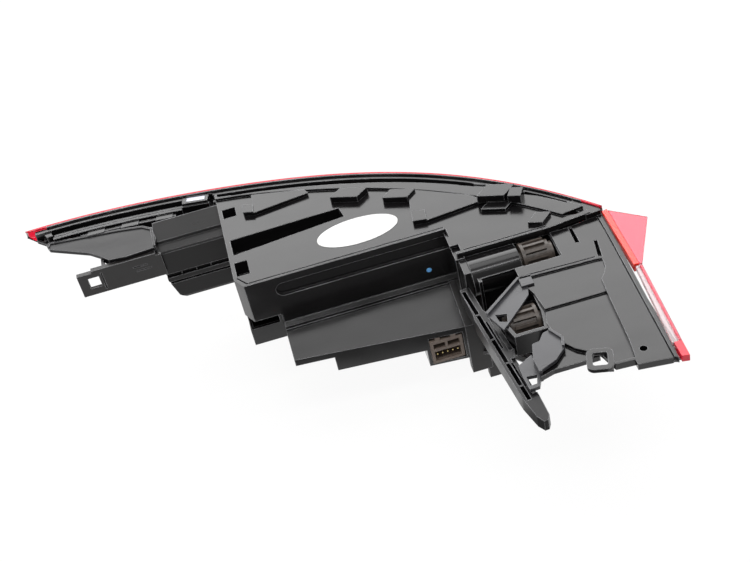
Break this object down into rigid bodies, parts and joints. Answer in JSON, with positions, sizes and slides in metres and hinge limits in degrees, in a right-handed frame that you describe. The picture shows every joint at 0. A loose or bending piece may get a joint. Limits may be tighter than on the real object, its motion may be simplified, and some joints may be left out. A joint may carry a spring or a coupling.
{
  "type": "tail light cluster",
  "caption": "Wrap-round rear lamp cluster for a car: stepped black moulded back, red and clear lens, corner fin, twist-lock bulb holders and a long mounting arm.",
  "frame": {"origin": "centre of the seating face of the clip bracket at the lamp's thin end", "axes": "+X along the lamp from the thin tip towards the broad corner, +Y from the near edge to the long curved edge, +Z out of the moulded back; the lens faces -Z"},
  "size_m": [0.456, 0.3418, 0.1318],
  "materials": {
    "housing": "injection-moulded black ABS blend, as-moulded gloss",
    "red_lens": "injection-moulded transparent red acrylic",
    "clear_lens": "injection-moulded transparent clear acrylic",
    "fin_lens": "thin transparent red acrylic",
    "bezel": "metallised inner bezel",
    "reflector": "vacuum-metallised bowl",
    "holder": "glass-filled polyamide, fine eroded texture",
    "bulb_glass": "blown glass envelope",
    "connector": "moulded polyamide shell",
    "pin_metal": "tinned brass blades",
    "guide": "transparent red acrylic bar",
    "reflex": "red prism reflector bar",
    "foam": "white foam pad",
    "sealant": "black butyl cord",
    "label_paper": "blank coated paper",
    "blue_paint": "daub of blue inspection paint"
  },
  "bodies": {
    "root": {"rim_frame": "housing", "back_panel": "housing", "edge_clips": "housing", "back_tabs": "housing", "left_chamber": "housing", "end_cover": "housing", "end_channel": "housing", "clip_bracket": "housing", "left_bay": "housing", "middle_bay": "housing", "connector_bay": "housing", "tall_bay": "housing", "side_box": "housing", "right_plate": "housing", "bulb_sleeve": "housing", "holder_pocket": "housing", "near_flange": "housing", "mounting_arm": "housing", "upper_strap": "housing", "lower_strap": "housing", "locating_loop": "housing", "lens_red": "red_lens", "lens_clear": "clear_lens", "lens_fin": "fin_lens", "inner_bezel": "bezel", "reflector_stop": "reflector", "reflector_reverse": "reflector", "holder_upper": "holder", "holder_lower": "holder", "bulb_stop": "bulb_glass", "bulb_reverse": "bulb_glass", "connector_shell": "connector", "connector_pins": "pin_metal", "light_guide": "guide", "reflex_reflector": "reflex", "rim_pad": "foam", "seal_cord": "sealant", "oval_label": "label_paper", "paint_dot": "blue_paint"}
  },
  "joints": []
}
